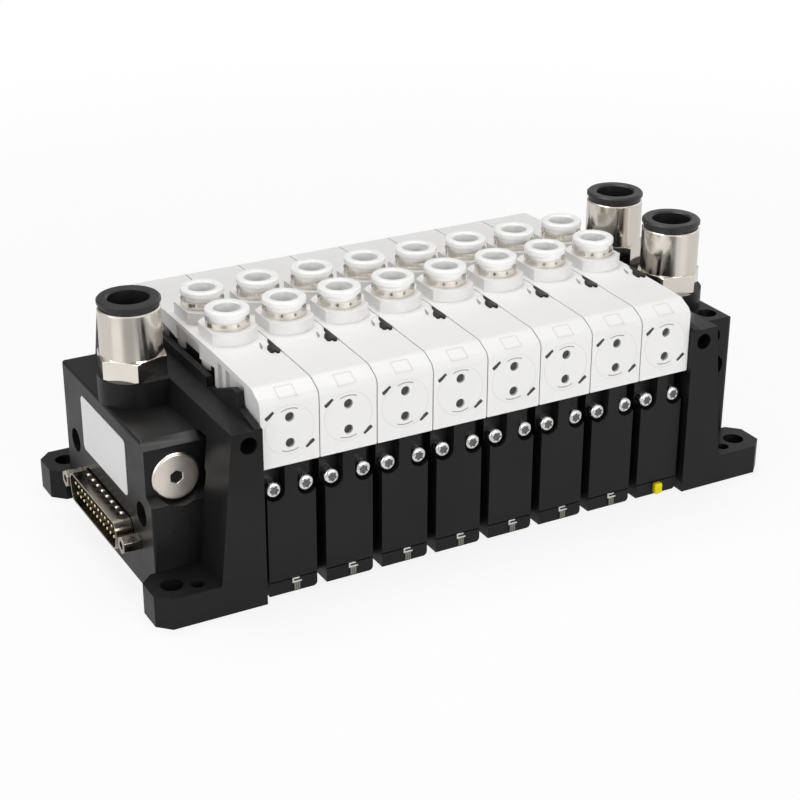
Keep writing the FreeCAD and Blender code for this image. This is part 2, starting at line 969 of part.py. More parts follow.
def make_supply_collet(x, y):
    low = supply_flange_bottom
    skirt = low - supply_skirt_length
    bevel = collet_mouth_bevel
    profile = [
        (supply_bore_radius, supply_sleeve_bottom),
        (supply_sleeve_radius, supply_sleeve_bottom),
        (supply_sleeve_radius, skirt),
        (supply_skirt_radius, skirt),
        (supply_skirt_radius, low),
        (supply_flange_radius, low),
        (supply_flange_radius, supply_collet_top - bevel),
        (supply_flange_radius - bevel, supply_collet_top),
        (supply_bore_radius + bevel, supply_collet_top),
        (supply_bore_radius, supply_collet_top - bevel),
    ]
    return turned(profile, V(x, y, 0))


def make_plug():
    y = -block_half + recess_depth
    profile = [
        (0, -plug_thickness),
        (plug_radius - plug_edge, -plug_thickness),
        (plug_radius, -plug_thickness + plug_edge),
        (plug_radius, 0),
        (plug_stem_radius, 0),
        (plug_stem_radius, plug_stem_length),
        (0, plug_stem_length),
    ]
    centre = V(-row_half - plug_reach, y, plug_height)
    plug = turned(profile, centre, Y)
    socket = hexagon(plug_socket_across, centre - Y * plug_thickness, Y, plug_thickness + plug_socket_depth)
    return plug.cut(socket)


def make_tie_rod(y):
    head_in = row_half + tie_head_reach
    head_out = head_in + tie_head_length
    rod = cylinder(tie_rod_radius, V(-head_in, y, tie_rod_height), X, 2 * head_in)
    for end in (-1, 1):
        head = cylinder(tie_head_radius, V(end * head_in, y, tie_rod_height), X * end, tie_head_length)
        start = V(end * head_out, y, tie_rod_height)
        head = head.cut(hexagon(tie_socket_across, start, X * (-end), tie_socket_depth))
        rod = rod.fuse(head)
    return rod.removeSplitter()


def make_connector_shell():
    outer = connector_body(-left_face - shell_proud, -left_face + shell_sunk, shell_wall)
    inner = connector_body(-left_face - shell_proud - 1, -left_face + shell_sunk + 1, 0)
    return outer.cut(inner)


def make_insulator():
    front = -left_face + insulator_front
    return connector_body(front, front + insulator_length, -insulator_clearance).cut(pin_holes())


def pin_places():
    places = []
    rows = ((pins_wide_row, 1), (pins_wide_row - 1, -1))
    for count, side in rows:
        for i in range(count):
            y = connector_y + (i - (count - 1) / 2) * pin_pitch
            places.append((y, connector_height + side * pin_row_gap / 2))
    return places


def pin_holes():
    front = -left_face + insulator_front
    return [cylinder(pin_radius, V(front, y, z), X, pin_sunk) for y, z in pin_places()]


def make_pins():
    start = -left_face - pin_proud
    length = pin_proud + insulator_front + pin_sunk
    return [cylinder(pin_radius, V(start, y, z), X, length) for y, z in pin_places()]


def make_jack_screw(sign):
    y = connector_y + sign * jack_spacing / 2
    face = V(-left_face, y, connector_height)
    body = hexagon(jack_across, face - X * jack_length, X, jack_length)
    body = body.fuse(cylinder(jack_stem_radius, face - X, X, jack_stem_length + 1))
    hole = cylinder(jack_hole_radius, face - X * jack_length, X, jack_hole_depth)
    return body.cut(hole).removeSplitter()


def make_label():
    x = -left_face - label_thickness
    y0 = label_y - label_width / 2
    z0 = label_z - label_height / 2
    points = [
        V(x, y0, z0),
        V(x, y0 + label_width, z0),
        V(x, y0 + label_width, z0 + label_height),
        V(x, y0, z0 + label_height),
    ]
    return prism(points, X * label_thickness, [label_round] * 4)


def build_stations():
    save("valve_housings", at_stations(make_housing()))
    save("manifold_bases", at_stations(make_base()))
    save("station_seals", at_stations(make_seal()))
    cartridges = []
    screws = []
    for sign in (-1, 1):
        cartridges += at_stations(make_cartridge(sign * outlet_offset))
        screws += at_stations(make_valve_screw(sign * screw_spread))
    save("outlet_cartridges", cartridges)
    save("valve_screws", screws)
    latch = make_latch().translated(X * latch_offset)
    save("base_latches", at_stations(latch, range(station_count - 1)))
    knob = make_knob().translated(X * knob_offset)
    save("yellow_latch", at_stations(knob, [station_count - 1]))
    for i in range(station_count):
        x = station_x(i)
        number = str(i + 1)
        save("front_collet_" + number, make_outlet_collet(x, -outlet_offset))
        save("rear_collet_" + number, make_outlet_collet(x, outlet_offset))
        save("upper_override_" + number, make_override(x, 1))
        save("lower_override_" + number, make_override(x, -1))
        save("spool_" + number, make_spool(x))


def build_ends():
    block = make_end_block(left_block_reach, left_block_top, left_block_round)
    bosses = make_fitting_bosses([left_fitting_y], left_boss_radius, left_block_top)
    cuts = make_left_recess() + connector_bores() + plug_bores() + tie_rod_bores(left_block_reach)
    save("left_end_plate", make_end_plate(block, bosses, [left_fitting_y], [0], cuts))
    block = make_end_block(right_block_reach, right_block_top, right_block_round)
    right_ys = [-exhaust_offset, exhaust_offset]
    bosses = make_fitting_bosses(right_ys, right_boss_radius, right_block_top)
    cuts = blind_ports() + tie_rod_bores(right_block_reach)
    save("right_end_plate", mirrored_x(make_end_plate(block, bosses, right_ys, right_ys, cuts)))
    places = [
        (-row_half - fitting_reach, left_fitting_y),
        (row_half + fitting_reach, -exhaust_offset),
        (row_half + fitting_reach, exhaust_offset),
    ]
    fittings = [make_supply_fitting(x, y, turn) for (x, y), turn in zip(places, fitting_turns)]
    save("supply_fittings", fittings)
    for i, (x, y) in enumerate(places):
        save("supply_collet_" + str(i + 1), make_supply_collet(x, y))
    save("tie_rods", [make_tie_rod(-tie_rod_y), make_tie_rod(tie_rod_y)])
    save("port_plug", make_plug())
    save("connector_shell", make_connector_shell())
    save("connector_insulator", make_insulator())
    save("connector_pins", make_pins())
    save("jack_screws", [make_jack_screw(-1), make_jack_screw(1)])
    save("blank_label", make_label())


os.makedirs("parts", exist_ok=True)
build_stations()
build_ends()
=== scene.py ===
# %% [markdown]
# # A pneumatic valve island, dressed for its portrait
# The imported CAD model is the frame. Every piece below sits on it, with +Z up and the row
# of valves along X. Blender works in metres, but sizes here are written in millimetres,
# as on a drawing, and MM turns them. What the CAD model already fixes, such as the front
# face of the valves, is measured on its nodes instead of being written again.

# %% Load the frame
import json
import math

import bmesh
import bpy
from mathutils import Matrix, Vector


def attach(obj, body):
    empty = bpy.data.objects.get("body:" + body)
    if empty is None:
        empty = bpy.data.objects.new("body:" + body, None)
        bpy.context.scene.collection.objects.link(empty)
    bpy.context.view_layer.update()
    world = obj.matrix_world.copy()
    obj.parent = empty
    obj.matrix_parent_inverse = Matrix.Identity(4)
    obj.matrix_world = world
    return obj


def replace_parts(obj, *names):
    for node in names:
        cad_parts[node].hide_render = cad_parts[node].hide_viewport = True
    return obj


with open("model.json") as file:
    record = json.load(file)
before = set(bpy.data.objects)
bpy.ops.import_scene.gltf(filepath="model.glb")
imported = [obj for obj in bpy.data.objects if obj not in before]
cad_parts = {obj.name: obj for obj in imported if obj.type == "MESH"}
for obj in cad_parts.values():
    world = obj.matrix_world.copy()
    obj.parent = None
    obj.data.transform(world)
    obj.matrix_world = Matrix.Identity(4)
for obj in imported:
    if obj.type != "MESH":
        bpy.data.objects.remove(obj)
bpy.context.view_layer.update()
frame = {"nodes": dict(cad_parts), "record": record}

MM = 0.001
PITCH = 18.0


def node_box(name):
    # The low and the high corner of a node, in millimetres.
    spots = [vert.co for vert in frame["nodes"][name].data.vertices]
    low = Vector([min(spot[axis] for spot in spots) for axis in range(3)])
    high = Vector([max(spot[axis] for spot in spots) for axis in range(3)])
    return low / MM, high / MM


housing_low, housing_high = node_box("valve_housings")
STATIONS = range(round((housing_high.x - housing_low.x) / PITCH))
ROW_HALF = len(STATIONS) * PITCH / 2
FRONT_Y = housing_low.y


def station_x(index):
    # The middle of a station, counted from the left end of the row.
    return PITCH * (index + 0.5) - ROW_HALF


print("stations:", len(STATIONS))

# %% [markdown]
# ## The camera
# The photo looks down on the row from its left front corner, from a little over half a
# metre away. Its lens is long, so the far end is only a little smaller than the near
# one. A camera could be set by eye in the viewport, but a place, two angles and a focal
# length can be written down and give the same picture every time.

# %% Place the camera
CAMERA_PLACE = Vector((-253.1, -457.9, 267.9)) * MM
CAMERA_HEADING = math.radians(28.8)
CAMERA_PITCH = math.radians(24.75)
CAMERA_ROLL = math.radians(0.2)
FOCAL_PIXELS = 1825.0
PICTURE_PIXELS = 800.0
SENSOR_WIDTH = 36.0

camera_data = bpy.data.cameras.new("camera")
camera_data.sensor_width = SENSOR_WIDTH
camera_data.lens = SENSOR_WIDTH * FOCAL_PIXELS / PICTURE_PIXELS
camera_data.clip_start = 0.01
camera_data.clip_end = 20.0
camera = bpy.data.objects.new("camera", camera_data)
bpy.context.collection.objects.link(camera)
look = Vector((
    math.sin(CAMERA_HEADING) * math.cos(CAMERA_PITCH),
    math.cos(CAMERA_HEADING) * math.cos(CAMERA_PITCH),
    -math.sin(CAMERA_PITCH),
))
camera.matrix_world = (
    Matrix.Translation(CAMERA_PLACE)
    @ look.to_track_quat("-Z", "Y").to_matrix().to_4x4()
    @ Matrix.Rotation(CAMERA_ROLL, 4, "Z")
)
bpy.context.scene.camera = camera
print("lens in mm:", round(camera_data.lens, 1))

# %% [markdown]
# ## Colours and nodes
# Paint charts give colours as sRGB hex, but a renderer adds up light, so the values are
# turned to linear first. The sRGB curve is straight near black and a power above that.
# One small function adds a node with its settings and links, and every material is built
# with it, so a material reads as a list of what feeds what.


# %% Helpers for colours and nodes
def linear(hex_text):
    channels = []
    for start in (0, 2, 4):
        value = int(hex_text[start:start + 2], 16) / 255
        channels.append(value / 12.92 if value <= 0.04045 else ((value + 0.055) / 1.055) ** 2.4)
    return (*channels, 1.0)


def add_node(tree, kind, settings=None, links=None):
    made = tree.nodes.new(kind)
    for key, value in (settings or {}).items():
        if isinstance(key, int) or key in made.inputs:
            made.inputs[key].default_value = value
        else:
            setattr(made, key, value)
    for key, source in (links or {}).items():
        tree.links.new(source, made.inputs[key])
    return made


def start_material(name):
    made = bpy.data.materials.new(name)
    made.use_nodes = True
    tree = made.node_tree
    tree.nodes.clear()
    shader = add_node(tree, "ShaderNodeBsdfPrincipled")
    add_node(tree, "ShaderNodeOutputMaterial", links={"Surface": shader.outputs["BSDF"]})
    coordinates = add_node(tree, "ShaderNodeTexCoord")
    return made, tree, shader, coordinates.outputs["Object"]


print("a mid grey of 808080, linear:", round(linear("808080")[0], 3))

# %% [markdown]
# ## Moulded plastic
# Nearly all of the island is injection-moulded plastic: glass-filled nylon for the black
# pieces, filled polyester for the white housings, acetal for the release collets. The
# mould is spark-eroded, so the surface has a very fine grain that spreads the highlights.
# The grain is a noise texture in real millimetres that drives a bump, and a slower noise
# changes the roughness a little, as handling and flow do. The true grain is about 0.1 mm,
# too fine to see here, so it is drawn about three times as coarse.

# %% How a moulded plastic is built
PLASTIC_IOR = 1.5
PLASTIC_CLOUD = 14.0
SMOOTHER = 0.05
ROUGHER = 0.06
CLOUD_RANGE = {"From Min": 0.3, "From Max": 0.7}


def moulded_plastic(name, colour, tint, roughness, grain_mm, depth_mm, specular=0.5):
    made, tree, shader, place = start_material(name)
    shader.inputs["IOR"].default_value = PLASTIC_IOR
    shader.inputs["Specular IOR Level"].default_value = specular
    grain = add_node(
        tree, "ShaderNodeTexNoise", {"Scale": 1 / (grain_mm * MM), "Detail": 2.0}, {"Vector": place}
    )
    cloud = add_node(
        tree, "ShaderNodeTexNoise", {"Scale": 1 / (PLASTIC_CLOUD * MM), "Detail": 3.0},
        {"Vector": place},
    )
    mix = add_node(
        tree, "ShaderNodeMix", {"data_type": "RGBA", 6: linear(colour), 7: linear(tint)},
        {0: cloud.outputs["Fac"]},
    )
    tree.links.new(mix.outputs[2], shader.inputs["Base Color"])
    rough = add_node(
        tree, "ShaderNodeMapRange",
        {**CLOUD_RANGE, "To Min": roughness - SMOOTHER, "To Max": roughness + ROUGHER},
        {"Value": cloud.outputs["Fac"]},
    )
    tree.links.new(rough.outputs["Result"], shader.inputs["Roughness"])
    bump = add_node(
        tree, "ShaderNodeBump", {"Strength": 0.5, "Distance": depth_mm * MM},
        {"Height": grain.outputs["Fac"]},
    )
    tree.links.new(bump.outputs["Normal"], shader.inputs["Normal"])
    print("plastic:", name)
    return made


# %% [markdown]
# ## The plastics of this island
# Each finish has a colour, a second colour that it drifts to in soft clouds, a roughness,
# and the size and depth of its grain in millimetres. The black nylon reflects less than
# a clean plastic, because the glass in it leaves the skin slightly open. The three darker
# tints of the white polyester are painted shade, for the shade that falls on raised lines
# and in grooves and slots.

# %% Plastics
black_nylon = moulded_plastic("glass_filled_nylon_black", "151515", "1b1b1c", 0.38, 0.35, 0.02, 0.22)
white_polyester = moulded_plastic("polyester_white_moulded", "eeedec", "e9e8e7", 0.48, 0.3, 0.012)
# Painted shade: the next three tints stand for the shade on raised rings and frames and in grooves and
# slots.
ring_shade_polyester = moulded_plastic("polyester_white_painted_ring_shade", "e7e6e4", "e2e1e0", 0.6, 0.3, 0.02)
frame_shade_polyester = moulded_plastic("polyester_white_painted_frame_shade", "dcdbd9", "d6d5d4", 0.6, 0.3, 0.02)
recess_shade_polyester = moulded_plastic("polyester_white_painted_recess_shade", "a09f9d", "989796", 0.6, 0.3, 0.02)
white_acetal = moulded_plastic("acetal_white_smooth", "fafaf9", "f6f6f5", 0.3, 0.5, 0.004)
black_acetal = moulded_plastic("acetal_black_smooth", "1c1c1d", "232324", 0.36, 0.5, 0.005)
grey_acetal = moulded_plastic("acetal_grey_override", "343434", "3c3c3c", 0.42, 0.4, 0.006)
yellow_abs = moulded_plastic("abs_yellow_glossy", "f2e000", "ead800", 0.3, 0.5, 0.005)
seal_rubber = moulded_plastic("nitrile_rubber_seal", "151515", "1a1a1a", 0.6, 0.4, 0.01)
label_film = moulded_plastic("polyester_label_film", "f4f4f4", "efeff0", 0.38, 0.6, 0.003)

# %% [markdown]
# ## Turned and plated metal
# The fittings are brass with a satin nickel plate, turned on a lathe. The tool leaves
# very fine rings round the axis, so highlights stretch across them. The rings are noise
# squeezed along Z, and on the face of the port plug noise that depends only on the
# distance from its middle. Screws and clips are plated steel with no rings, the
# connector's shell is tinned, and its pins are gold-plated. A metal takes its colour from
# the base colour and keeps the default IOR.

# %% How a plated metal is built
METAL_CLOUD = 6.0
METAL_SMOOTHER = 0.04
TURNED = (0.02, 0.02, 1.0)
EVEN = (1.0, 1.0, 1.0)


def plated_metal(name, colour, roughness, ring_mm, depth_mm, stretch=TURNED, middle=None):
    made, tree, shader, place = start_material(name)
    shader.inputs["Base Color"].default_value = linear(colour)
    shader.inputs["Metallic"].default_value = 1.0
    if middle:
        flat = add_node(
            tree, "ShaderNodeMapping",
            {"Location": (-middle.x * MM, 0, -middle.z * MM), "Scale": (1, 0, 1)}, {"Vector": place},
        )
        radius = add_node(
            tree, "ShaderNodeVectorMath", {"operation": "LENGTH"}, {0: flat.outputs["Vector"]}
        )
        pattern = radius.outputs["Value"]
    else:
        squeezed = add_node(tree, "ShaderNodeMapping", {"Scale": stretch}, {"Vector": place})
        pattern = squeezed.outputs["Vector"]
    rings = add_node(
        tree, "ShaderNodeTexNoise", {"Scale": 1 / (ring_mm * MM), "Detail": 2.0}, {"Vector": pattern}
    )
    cloud = add_node(
        tree, "ShaderNodeTexNoise", {"Scale": 1 / (METAL_CLOUD * MM), "Detail": 3.0}, {"Vector": place}
    )
    rough = add_node(
        tree, "ShaderNodeMapRange",
        {**CLOUD_RANGE, "To Min": roughness - METAL_SMOOTHER, "To Max": roughness + ROUGHER},
        {"Value": cloud.outputs["Fac"]},
    )
    tree.links.new(rough.outputs["Result"], shader.inputs["Roughness"])
    bump = add_node(
        tree, "ShaderNodeBump", {"Strength": 0.4, "Distance": depth_mm * MM},
        {"Height": rings.outputs["Fac"]},
    )
    tree.links.new(bump.outputs["Normal"], shader.inputs["Normal"])
    print("metal:", name)
    return made


# %% [markdown]
# ## The metals of this island
# Each metal has a colour, a roughness, and the spacing and depth of its rings or of its
# grain in millimetres. The plug's face was cut across, so its rings are coarser and run
# round the middle of the plug, which is measured on the CAD node.

# %% Metals
plug_low, plug_high = node_box("port_plug")
plug_middle = (plug_low + plug_high) / 2
nickel = plated_metal("brass_nickel_plated_turned", "e6dfd6", 0.15, 0.35, 0.003)
faced_nickel = plated_metal(
    "brass_nickel_plated_faced", "efe6dc", 0.3, 0.9, 0.035, middle=plug_middle
)
steel = plated_metal("steel_zinc_plated", "e8e8e6", 0.24, 0.6, 0.004, EVEN)
# The dull grey steel is the real finish of the clip legs, and in the stars of the screws it is painted
# shade.
dull_steel_and_star_shade = plated_metal("steel_dull_legs_and_star_shade", "707070", 0.35, 0.4, 0.01, EVEN)
tin = plated_metal("steel_tin_plated", "a39c90", 0.18, 0.5, 0.004, EVEN)
gold = plated_metal("contact_gold_plated", "efe2c4", 0.3, 0.5, 0.002, EVEN)
spool_metal = plated_metal("aluminium_turned", "c8cacc", 0.3, 0.4, 0.004)

# %% [markdown]
# ## Every CAD node gets its finish
# The record says which material slot each node has. A finish could be given to each node
# by hand, but a table of slots and one loop can't forget a node.

# %% Dress the CAD nodes
SLOT_MATERIALS = {
    "white_plastic": white_polyester,
    "black_plastic": black_nylon,
    "collet_white": white_acetal,
    "collet_black": black_acetal,
    "override_grey": grey_acetal,
    "spool_metal": spool_metal,
    "seal_rubber": seal_rubber,
    "nickel": nickel,
    "screw_steel": steel,
    "connector_tin": tin,
    "gold_contact": gold,
    "yellow_plastic": yellow_abs,
    "label_film": label_film,
}
node_slots = {row["node"]: row["material_slot"] for row in frame["record"]["subparts"]}
for name, piece in frame["nodes"].items():
    piece.data.materials.clear()
    piece.data.materials.append(SLOT_MATERIALS[node_slots[name]])
print("nodes dressed:", len(node_slots))

# %% [markdown]
# ## Soft edges
# A moulded edge is never quite sharp: it has a radius of a few tenths of a millimetre,
# and that thin line of light is what makes plastic look real. The CAD mesh is loose
# triangles, so a copy is joined up first, its flat faces are merged, and a Bevel modifier
# rounds the edges that turn by more than 30 degrees. A Weighted Normal modifier then lets
# the large faces set the shading, so that flat faces stay flat and turned walls stay
# upright in a reflection. The copy then stands for the node.

# %% Round the edges of a copy
EDGE_SEGMENTS = 2
EDGE_ANGLE = math.radians(30)
FLAT_ANGLE = math.radians(1)
MERGE_DISTANCE = 0.002
LARGE_FACE_WEIGHT = 90
node_bodies = {}
for body, names in frame["record"]["behaviour"]["bodies"].items():
    for name in names:
        node_bodies[name] = body


def link(mesh, name, body, slot, material=None):
    made = bpy.data.objects.new(name, mesh)
    bpy.context.collection.objects.link(made)
    mesh.materials.clear()
    mesh.materials.append(material or SLOT_MATERIALS[slot])
    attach(made, body)
    return made


def finish_mesh(work, name):
    mesh = bpy.data.meshes.new(name)
    work.to_mesh(mesh)
    work.free()
    return mesh


def round_edges(piece, width_mm):
    bevel = piece.modifiers.new("soft_edges", "BEVEL")
    bevel.width = width_mm * MM
    bevel.segments = EDGE_SEGMENTS
    bevel.limit_method = "ANGLE"
    bevel.angle_limit = EDGE_ANGLE
    bevel.use_clamp_overlap = True
    weighted = piece.modifiers.new("large_faces_stay_flat", "WEIGHTED_NORMAL")
    weighted.mode = "FACE_AREA"
    weighted.weight = LARGE_FACE_WEIGHT
    piece.data.shade_smooth()


def soften(node, width_mm, material=None):
    work = bmesh.new()
    work.from_mesh(frame["nodes"][node].data)
    bmesh.ops.remove_doubles(work, verts=work.verts, dist=MERGE_DISTANCE * MM)
    bmesh.ops.dissolve_limit(work, angle_limit=FLAT_ANGLE, verts=work.verts, edges=work.edges)
    mesh = finish_mesh(work, node + "_soft")
    made = link(mesh, node + "_soft", node_bodies[node], node_slots[node], material)
    round_edges(made, width_mm)
    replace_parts(made, node)
    print(made.name, len(mesh.polygons))


print("bodies:", len(set(node_bodies.values())))

# %% Soften the pieces that show
for node, width, material in (
    ("left_end_plate", 0.3, None),
    ("right_end_plate", 0.3, None),
    ("manifold_bases", 0.18, None),
    ("valve_housings", 0.15, None),
    ("yellow_latch", 0.15, None),
    ("connector_insulator", 0.1, None),
    ("connector_pins", 0.2, None),
    ("jack_screws", 0.2, None),
    ("tie_rods", 0.2, None),
    ("blank_label", 0.05, None),
    ("port_plug", 0.25, faced_nickel),
    ("supply_fittings", 0.12, None),
):
    soften(node, width, material)
OVERRIDE_EDGE = 0.3
for index in STATIONS:
    soften("upper_override_%d" % (index + 1), OVERRIDE_EDGE)
    soften("lower_override_%d" % (index + 1), OVERRIDE_EDGE)

# %% [markdown]
# ## Copies of one pattern
# Most small pieces repeat once or twice at every station. An array modifier could repeat
# them, but the screws turn from one to the next and the rear notches are mirrored, so one
# pattern is made and its copies are put at chosen places in a single mesh. A mirrored
# place turns a pattern inside out, so its faces are turned back. The pattern of a piece in
# the front wall is drawn looking up along Z and is then tipped to look out of the front.

# %% Place copies of a pattern
SHARP_ANGLE = math.radians(35)


def place_copies(pattern, places, name, slot, material=None):
    work = bmesh.new()
    for place in places:
        verts_done = len(work.verts)
        faces_done = len(work.faces)
        work.from_mesh(pattern)
        work.verts.ensure_lookup_table()
        work.faces.ensure_lookup_table()
        bmesh.ops.transform(work, matrix=place, verts=work.verts[verts_done:])
        if place.determinant() < 0:
            bmesh.ops.reverse_faces(work, faces=work.faces[faces_done:])
    made = link(finish_mesh(work, name), name, "frame", slot, material)
    made.data.shade_smooth()
    made.data.set_sharp_from_angle(angle=SHARP_ANGLE)
    print(name, len(made.data.polygons))
    return made


def facing_front(x, y, z, turn=0.0):
    spot = Matrix.Translation(Vector((x, y, z)) * MM)
    return spot @ Matrix.Rotation(math.radians(90), 4, "X") @ Matrix.Rotation(turn, 4, "Z")


print("middles of the stations in mm:", [station_x(index) for index in STATIONS])

# %% [markdown]
# ## Star screws
# Two screws hold each valve down. A screw is a turned shape, so a half outline is spun
# about its axis. The two rings that line the recess are then pulled in and out six times
# on the way round, which makes the star. One screw is made, and sixteen copies of it are
# placed, each turned a little further, because nobody tightens screws to the same angle.

# %% Spin an outline
FULL_TURN = 2 * math.pi
SPIN_MERGE = 0.001


def spin_outline(outline_mm, steps, angle=FULL_TURN):
    # The outline is a list of radius and height, and it is spun about Z.
    work = bmesh.new()
    corners = [work.verts.new((radius * MM, 0, height * MM)) for radius, height in outline_mm]
    sides = [work.edges.new(pair) for pair in zip(corners, corners[1:])]
    bmesh.ops.spin(
        work, geom=corners + sides, cent=(0, 0, 0), axis=(0, 0, 1),
        angle=angle, steps=steps, use_merge=angle == FULL_TURN,
    )
    bmesh.ops.remove_doubles(work, verts=work.verts, dist=SPIN_MERGE * MM)
    bmesh.ops.recalc_face_normals(work, faces=work.faces)
    return work


# %% Screws
SCREW_SPREAD = 4.95
SCREW_STEPS = 48
SCREW_TURN = 0.9
SHANK_RADIUS = 1.4
SCREW_LENGTH = 12.2
STAR_RADIUS = 1.3
STAR_DEPTH = 1.5
STAR_POINTS = 6
STAR_WAVE = 0.16
STAR_BAND = (STAR_RADIUS - 0.2, STAR_RADIUS + 0.05)
screw_low, screw_high = node_box("valve_screws")
screw_height = (screw_low.z + screw_high.z) / 2

screw_work = spin_outline([
    (0, -STAR_DEPTH), (0.6, -STAR_DEPTH), (STAR_RADIUS - 0.1, -STAR_DEPTH + 0.1),
    (STAR_RADIUS, -0.06), (STAR_RADIUS + 0.12, 0), (1.7, -0.04), (1.95, -0.14), (2.17, -0.3),
    (2.34, -0.52), (2.45, -0.85), (2.45, -3.3), (SHANK_RADIUS, -3.35),
    (SHANK_RADIUS, -SCREW_LENGTH), (0, -SCREW_LENGTH),
], SCREW_STEPS)
for vert in screw_work.verts:
    radius = math.hypot(vert.co.x, vert.co.y) / MM
    if STAR_BAND[0] < radius < STAR_BAND[1]:
        wave = 1 + STAR_WAVE * math.cos(STAR_POINTS * math.atan2(vert.co.y, vert.co.x))
        vert.co.x *= wave
        vert.co.y *= wave
screw_mesh = finish_mesh(screw_work, "star_screw")
screw_places = []
for index in STATIONS:
    for side in (-1, 1):
        x = station_x(index) + side * SCREW_SPREAD
        turn = SCREW_TURN * len(screw_places)
        screw_places.append(facing_front(x, screw_low.y, screw_height, turn))
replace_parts(place_copies(screw_mesh, screw_places, "star_screws", "screw_steel"), "valve_screws")

# %% [markdown]
# A dull grey disc lies in each star as painted shade for the bottom of the recess. It is
# wider than the star and stands inside the head, so that the wall of the star cuts its
# outline.

# %% Discs of painted shade in the stars
DISC_RADIUS = 1.55
DISC_TOP = -0.45
DISC_FOOT = -0.9
DISC_STEPS = 24
# Painted shade: the dull discs darken the bottom of each star.
star_shade_mesh = finish_mesh(spin_outline([
    (0, DISC_FOOT), (DISC_RADIUS, DISC_FOOT), (DISC_RADIUS, DISC_TOP), (0, DISC_TOP),
], DISC_STEPS), "star_shade_disc")
place_copies(star_shade_mesh, screw_places, "star_shade_discs", "screw_steel", dull_steel_and_star_shade)

# %% [markdown]
# ## Paint bars beside the overrides
# Two slanted bars beside the overrides are filled with dark paint. The fill could be a
# colour on the housing's own surface, but a thin piece keeps its edge sharp at any
# distance. It is a rectangle, pulled up to a thickness and rounded at its four corners,
# and only three hundredths of a millimetre of it stand out of the wall.

# %% Flat plates and paint bars
upper_low, upper_high = node_box("upper_override_1")
lower_low, lower_high = node_box("lower_override_1")
OVERRIDE_HEIGHT = (upper_high.z + upper_low.z + lower_high.z + lower_low.z) / 4
BAR_LONG = 3.1
BAR_WIDE = 1.1
BAR_THICK = 0.4
BAR_PROUD = 0.03
BAR_CORNER = 0.2
BAR_TILT = math.radians(35)
BAR_ACROSS = 6.0
BAR_RISE = 5.3


def flat_rectangle(long_mm, wide_mm):
    work = bmesh.new()
    bmesh.ops.create_grid(work, x_segments=1, y_segments=1, size=0.5)
    bmesh.ops.scale(work, vec=(long_mm * MM, wide_mm * MM, 1), verts=work.verts)
    return work


def raise_faces(work, height_mm):
    lifted = bmesh.ops.extrude_face_region(work, geom=work.faces[:])
    raised = [item for item in lifted["geom"] if isinstance(item, bmesh.types.BMVert)]
    bmesh.ops.translate(work, vec=(0, 0, height_mm * MM), verts=raised)
    bmesh.ops.recalc_face_normals(work, faces=work.faces)


bar_work = flat_rectangle(BAR_LONG, BAR_WIDE)
raise_faces(bar_work, BAR_THICK)
upright = [
    edge for edge in bar_work.edges
    if abs(edge.verts[0].co.z - edge.verts[1].co.z) > BAR_THICK / 2 * MM
]
bmesh.ops.bevel(
    bar_work, geom=upright, offset=BAR_CORNER * MM, segments=4, profile=0.5,
    affect="EDGES", material=-1,
)
bar_mesh = finish_mesh(bar_work, "paint_bar")
bar_places = []
for index in STATIONS:
    for side in (-1, 1):
        x = station_x(index) - side * BAR_ACROSS
        z = OVERRIDE_HEIGHT + side * BAR_RISE
        bar_places.append(facing_front(x, FRONT_Y + BAR_THICK - BAR_PROUD, z, BAR_TILT))
place_copies(bar_mesh, bar_places, "paint_bars", "override_grey")

# %% [markdown]
# ## Fine lines on the housings
# A faint raised ring runs round both overrides, and a short groove curves above and below
# them. The ring is six hundredths of a millimetre high and is coloured a little darker
# than the face as painted shade, and a grey strip in the floor of the groove is painted
# shade too. A bump texture would lose such a line at this distance, so both are real,
# from outlines that are spun all the way round or only through the angle of the groove.

# %% Rings and painted shade in the grooves
RING_RADIUS = 7.4
RING_HALF = 0.18
RING_TOP_HALF = 0.1
LINE_HIGH = 0.06
LINE_SUNK = 0.02
RING_STEPS = 96
ring_mesh = finish_mesh(spin_outline([
    (RING_RADIUS - RING_HALF, -LINE_SUNK), (RING_RADIUS - RING_TOP_HALF, LINE_HIGH),
    (RING_RADIUS + RING_TOP_HALF, LINE_HIGH), (RING_RADIUS + RING_HALF, -LINE_SUNK),
], RING_STEPS), "faint_ring")
ring_places = [facing_front(station_x(index), FRONT_Y, OVERRIDE_HEIGHT) for index in STATIONS]
# The ring's darker colour is painted shade.
place_copies(ring_mesh, ring_places, "faint_rings", "white_plastic", ring_shade_polyester)

ARC_RADIUS = 6.6
ARC_WIDTH = 0.35
ARC_DEPTH = 0.12
ARC_ANGLE = math.radians(46)
ARC_STEPS = 24
# Painted shade: a grey strip lies in the floor of each groove.
groove_shade_mesh = finish_mesh(spin_outline([
    (ARC_RADIUS - ARC_WIDTH, -ARC_DEPTH), (ARC_RADIUS, -ARC_DEPTH),
], ARC_STEPS, ARC_ANGLE), "groove_shade_strip")
arc_places = []
for index in STATIONS:
    for middle_angle in (90, 270):
        turn = math.radians(middle_angle) - ARC_ANGLE / 2
        arc_places.append(facing_front(station_x(index), FRONT_Y, OVERRIDE_HEIGHT, turn))
place_copies(groove_shade_mesh, arc_places, "groove_shade_strips", "white_plastic", recess_shade_polyester)

# %% [markdown]
# ## Frames on the bevels and a mould mark
# A plain frame is raised on the bevel above each front wall. A rectangle is inset, its
# middle is taken out and the rim is pulled up, which is quicker than four joined bars. A
# small circle on the left block is the mark of an ejector pin of the mould.

